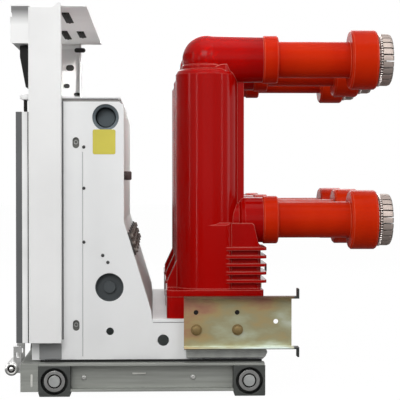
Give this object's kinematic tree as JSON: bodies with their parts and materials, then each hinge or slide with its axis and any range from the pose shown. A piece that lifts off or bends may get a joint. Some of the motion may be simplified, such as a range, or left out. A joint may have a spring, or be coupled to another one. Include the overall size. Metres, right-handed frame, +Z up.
{
  "type": "withdrawable vacuum circuit breaker",
  "caption": "Truck-mounted medium-voltage vacuum circuit breaker with cast-resin poles, tulip contacts and a sheet-metal drive housing.",
  "frame": {"origin": "middle of the floor under the breaker, at floor level", "axes": "+X rearwards to the contacts, -Y towards the side seen in the picture, +Z up"},
  "size_m": [0.652, 0.65, 0.643],
  "materials": {
    "panel_paint": "fine powder coat",
    "shelf_paint": "satin powder coat",
    "hood": "satin",
    "cover": "satin",
    "cover_frame": "satin dark gray",
    "plug": "black",
    "buttons": "moulded, one red and one green",
    "housing_paint": "fine powder coat",
    "inner_paint": "satin",
    "shaft": "oiled",
    "cast_resin": "glossy cast resin",
    "sleeve_resin": "glossy cast resin",
    "contact_metal": "silvered",
    "spring_steel": "bright spring steel",
    "rail_steel": "zinc",
    "chromate": "yellow chromate over zinc",
    "truck_zinc": "dull zinc",
    "block_steel": "dark",
    "wheel_steel": "ground bearing steel",
    "stud_steel": "turned, dull zinc",
    "grip_chrome": "worn chrome"
  },
  "bodies": {
    "breaker": {"front_plate": "panel_paint", "panel_flange_left": "panel_paint", "panel_flange_right": "panel_paint", "top_shelf": "shelf_paint", "top_hood": "hood", "front_cover": "cover", "cover_frame": "cover_frame", "plug_housing": "plug", "push_buttons": "buttons", "side_plate_left": "housing_paint", "side_plate_right": "housing_paint", "top_cover": "housing_paint", "rear_wall": "inner_paint", "base_pan": "inner_paint", "pole_tray": "housing_paint", "mechanism_case": "inner_paint", "main_shaft": "shaft", "pole_left": "cast_resin", "pole_middle": "cast_resin", "pole_right": "cast_resin", "upper_sleeve_left": "sleeve_resin", "upper_sleeve_middle": "sleeve_resin", "upper_sleeve_right": "sleeve_resin", "lower_sleeve_left": "sleeve_resin", "lower_sleeve_middle": "sleeve_resin", "lower_sleeve_right": "sleeve_resin", "upper_contact_left": "contact_metal", "upper_contact_middle": "contact_metal", "upper_contact_right": "contact_metal", "lower_contact_left": "contact_metal", "lower_contact_middle": "contact_metal", "lower_contact_right": "contact_metal", "contact_springs": "spring_steel", "bracket_rails": "rail_steel", "guide_bracket_left": "chromate", "guide_bracket_right": "chromate", "truck_channel_left": "truck_zinc", "truck_channel_right": "truck_zinc", "truck_crossbeams": "truck_zinc", "wheel_blocks": "block_steel", "axle_studs": "stud_steel", "pull_grips": "grip_chrome", "racking_boss": "block_steel"},
    "wheel_front_left": {"wheel_front_left": "wheel_steel"},
    "wheel_front_right": {"wheel_front_right": "wheel_steel"},
    "wheel_rear_left": {"wheel_rear_left": "wheel_steel"},
    "wheel_rear_right": {"wheel_rear_right": "wheel_steel"}
  },
  "joints": [
    {"name": "wheel_front_left_spin", "type": "hinge", "parent": "breaker", "child": "wheel_front_left", "pos_m": [-0.244, -0.3145, 0.0246], "axis": [0, 1, 0], "continuous": true},
    {"name": "wheel_front_right_spin", "type": "hinge", "parent": "breaker", "child": "wheel_front_right", "pos_m": [-0.244, 0.3145, 0.0246], "axis": [0, 1, 0], "continuous": true},
    {"name": "wheel_rear_left_spin", "type": "hinge", "parent": "breaker", "child": "wheel_rear_left", "pos_m": [0.075, -0.3145, 0.0246], "axis": [0, 1, 0], "continuous": true},
    {"name": "wheel_rear_right_spin", "type": "hinge", "parent": "breaker", "child": "wheel_rear_right", "pos_m": [0.075, 0.3145, 0.0246], "axis": [0, 1, 0], "continuous": true}
  ]
}
